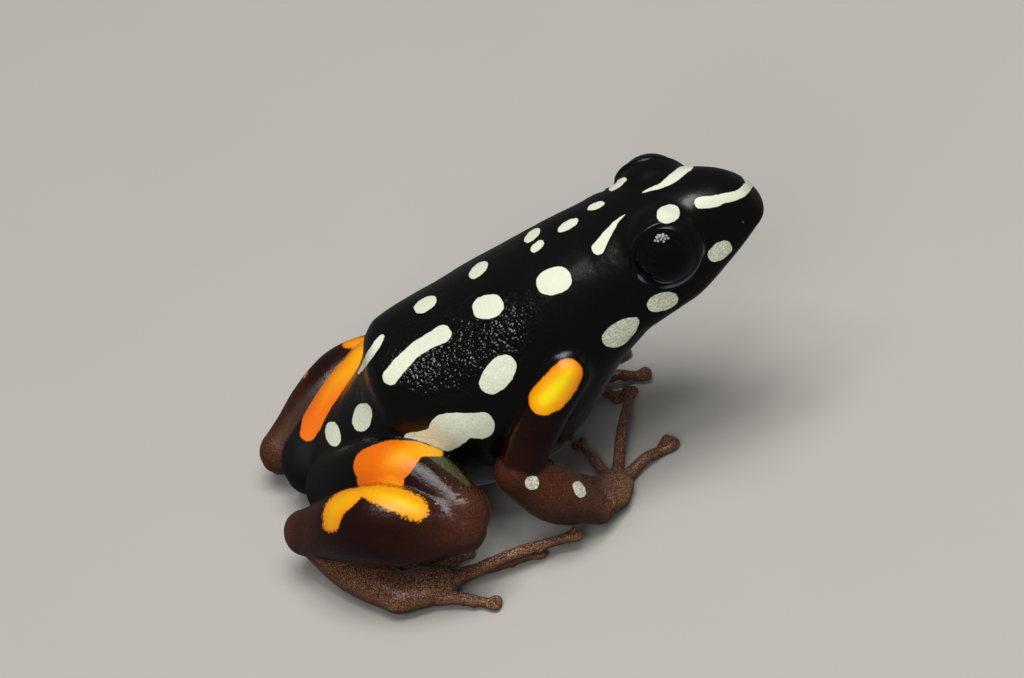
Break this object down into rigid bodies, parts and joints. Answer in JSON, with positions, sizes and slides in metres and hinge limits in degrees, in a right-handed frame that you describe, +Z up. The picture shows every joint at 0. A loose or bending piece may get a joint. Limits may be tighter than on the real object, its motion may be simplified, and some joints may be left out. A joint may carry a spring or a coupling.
{
  "type": "brazil-nut poison frog",
  "caption": "Life-size museum model of a small glossy black poison frog with cream spots and orange flash marks, sitting with its head raised and limbs folded.",
  "frame": {"origin": "on the floor, under the middle of the frog's bounding box", "axes": "+X towards the snout, +Y to the frog's left, +Z up"},
  "size_m": [0.0224, 0.016, 0.0127],
  "materials": {
    "skin": "moist, granular skin, black with cream spots",
    "limb": "moist, finely grained skin, dark red-brown with orange flash marks",
    "foot": "moist, finely grained skin, lighter brown",
    "eye": "clear and glossy, black"
  },
  "bodies": {
    "root": {"torso": "skin", "head": "skin", "eye_left": "eye", "eye_right": "eye", "thigh_left": "limb", "shank_left": "limb", "tarsus_left": "limb", "foot_left": "foot", "upper_arm_left": "limb", "forearm_left": "limb", "hand_left": "foot", "thigh_right": "limb", "shank_right": "limb", "tarsus_right": "limb", "foot_right": "foot", "upper_arm_right": "limb", "forearm_right": "limb", "hand_right": "foot"}
  },
  "joints": []
}
